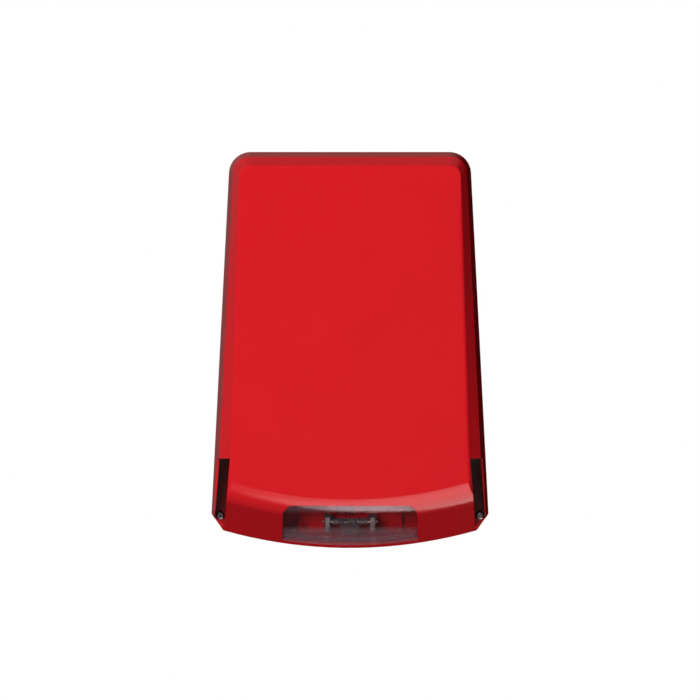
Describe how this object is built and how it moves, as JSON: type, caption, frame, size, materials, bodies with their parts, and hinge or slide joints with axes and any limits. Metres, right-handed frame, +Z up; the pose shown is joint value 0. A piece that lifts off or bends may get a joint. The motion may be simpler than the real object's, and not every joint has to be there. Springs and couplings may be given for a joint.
{
  "type": "horn strobe",
  "caption": "Wall-mounted fire alarm horn strobe with a red bevelled cover, a clear ribbed strobe window under a sloped front edge and a hinged two-shell housing.",
  "frame": {"origin": "point of the back face on the wall, on the middle line and halfway up the housing", "axes": "+X to the right seen from the front, +Y into the wall (out of the back face), +Z up; the front faces -Y"},
  "size_m": [0.2028, 0.082, 0.29],
  "materials": {
    "red_plastic": "moulded housing, light gloss",
    "clear_polycarbonate": "clear moulded polycarbonate",
    "black_rubber": "matt",
    "zinc_steel": "zinc plated",
    "brass_metal": "turned",
    "black_plastic": "fine texture",
    "piezo_brass": "thin sheet",
    "battery_grey": "fine texture",
    "tinned_metal": "tin plated",
    "strap_steel": "galvanised strip",
    "circuit_green": "solder mask",
    "circuit_red": "solder mask",
    "terminal_green": "moulded",
    "chip_black": "moulded",
    "capacitor_sleeve": "shrink sleeve",
    "transformer_core": "ferrite and tape",
    "light_red": "tinted epoxy",
    "switch_blue": "moulded",
    "switch_white": "moulded",
    "holder_grey": "moulded",
    "tube_glass": "clear tube",
    "electrode_metal": "drawn wire",
    "coil_tape": "dark potting over the winding",
    "connector_white": "moulded",
    "red_wire": "insulation",
    "black_wire": "insulation",
    "blue_wire": "insulation",
    "white_wire": "insulation"
  },
  "bodies": {
    "base": {"enclosure_base": "red_plastic", "screw_inserts": "brass_metal", "horn_flare": "black_plastic", "driver_housing": "black_plastic", "driver_gasket": "black_rubber", "piezo_disc": "piezo_brass", "horn_screws": "zinc_steel", "battery_case": "battery_grey", "battery_terminals": "tinned_metal", "battery_strap": "strap_steel", "strap_screws": "zinc_steel", "main_board": "circuit_green", "strobe_board": "circuit_red", "board_screws": "zinc_steel", "strobe_board_screws": "zinc_steel", "terminal_block": "terminal_green", "terminal_screws": "tinned_metal", "control_chips": "chip_black", "power_capacitors": "capacitor_sleeve", "horn_transformer": "transformer_core", "status_light": "light_red", "switch_block": "switch_blue", "tamper_switch": "black_plastic", "tube_holder": "holder_grey", "tube_clips": "tinned_metal", "flash_tube": "tube_glass", "tube_electrodes": "electrode_metal", "flash_capacitor": "capacitor_sleeve", "trigger_coil": "coil_tape", "cable_grommet": "black_rubber", "lead_receptacles": "connector_white", "battery_lead_red": "red_wire", "battery_lead_black": "black_wire", "horn_lead": "blue_wire", "lead_plugs": "connector_white", "strobe_lead": "white_wire"},
    "cover": {"front_cover": "red_plastic", "hinge_pins": "zinc_steel", "strobe_lens": "clear_polycarbonate", "lens_gasket": "black_rubber", "lens_screws": "zinc_steel"},
    "cover_screw_right": {"cover_screw_right": "zinc_steel"},
    "cover_screw_left": {"cover_screw_left": "zinc_steel"},
    "tamper_plunger": {"tamper_plunger": "switch_white"},
    "switch_slider_1": {"switch_slider_1": "switch_white"},
    "switch_slider_2": {"switch_slider_2": "switch_white"},
    "switch_slider_3": {"switch_slider_3": "switch_white"},
    "switch_slider_4": {"switch_slider_4": "switch_white"}
  },
  "joints": [
    {"name": "cover_hinge", "type": "hinge", "parent": "base", "child": "cover", "pos_m": [0, -0.019, 0.1384], "axis": [-1, 0, 0], "range_deg": [0, 90]},
    {"name": "cover_screw_right_travel", "type": "slide", "parent": "cover", "child": "cover_screw_right", "axis": [0, -1, 0], "range_m": [0, 0.009]},
    {"name": "cover_screw_left_travel", "type": "slide", "parent": "cover", "child": "cover_screw_left", "axis": [0, -1, 0], "range_m": [0, 0.009]},
    {"name": "tamper_plunger_travel", "type": "slide", "parent": "base", "child": "tamper_plunger", "axis": [0, -1, 0], "range_m": [0, 0.002]},
    {"name": "switch_slider_1_travel", "type": "slide", "parent": "base", "child": "switch_slider_1", "axis": [0, 0, 1], "range_m": [0, 0.0016]},
    {"name": "switch_slider_2_travel", "type": "slide", "parent": "base", "child": "switch_slider_2", "axis": [0, 0, 1], "range_m": [0, 0.0016]},
    {"name": "switch_slider_3_travel", "type": "slide", "parent": "base", "child": "switch_slider_3", "axis": [0, 0, 1], "range_m": [0, 0.0016]},
    {"name": "switch_slider_4_travel", "type": "slide", "parent": "base", "child": "switch_slider_4", "axis": [0, 0, 1], "range_m": [0, 0.0016]}
  ],
  "couplings": [
    {"joint": "tamper_plunger_travel", "follows": "cover_hinge", "m_per_rad": 0.00127}
  ]
}
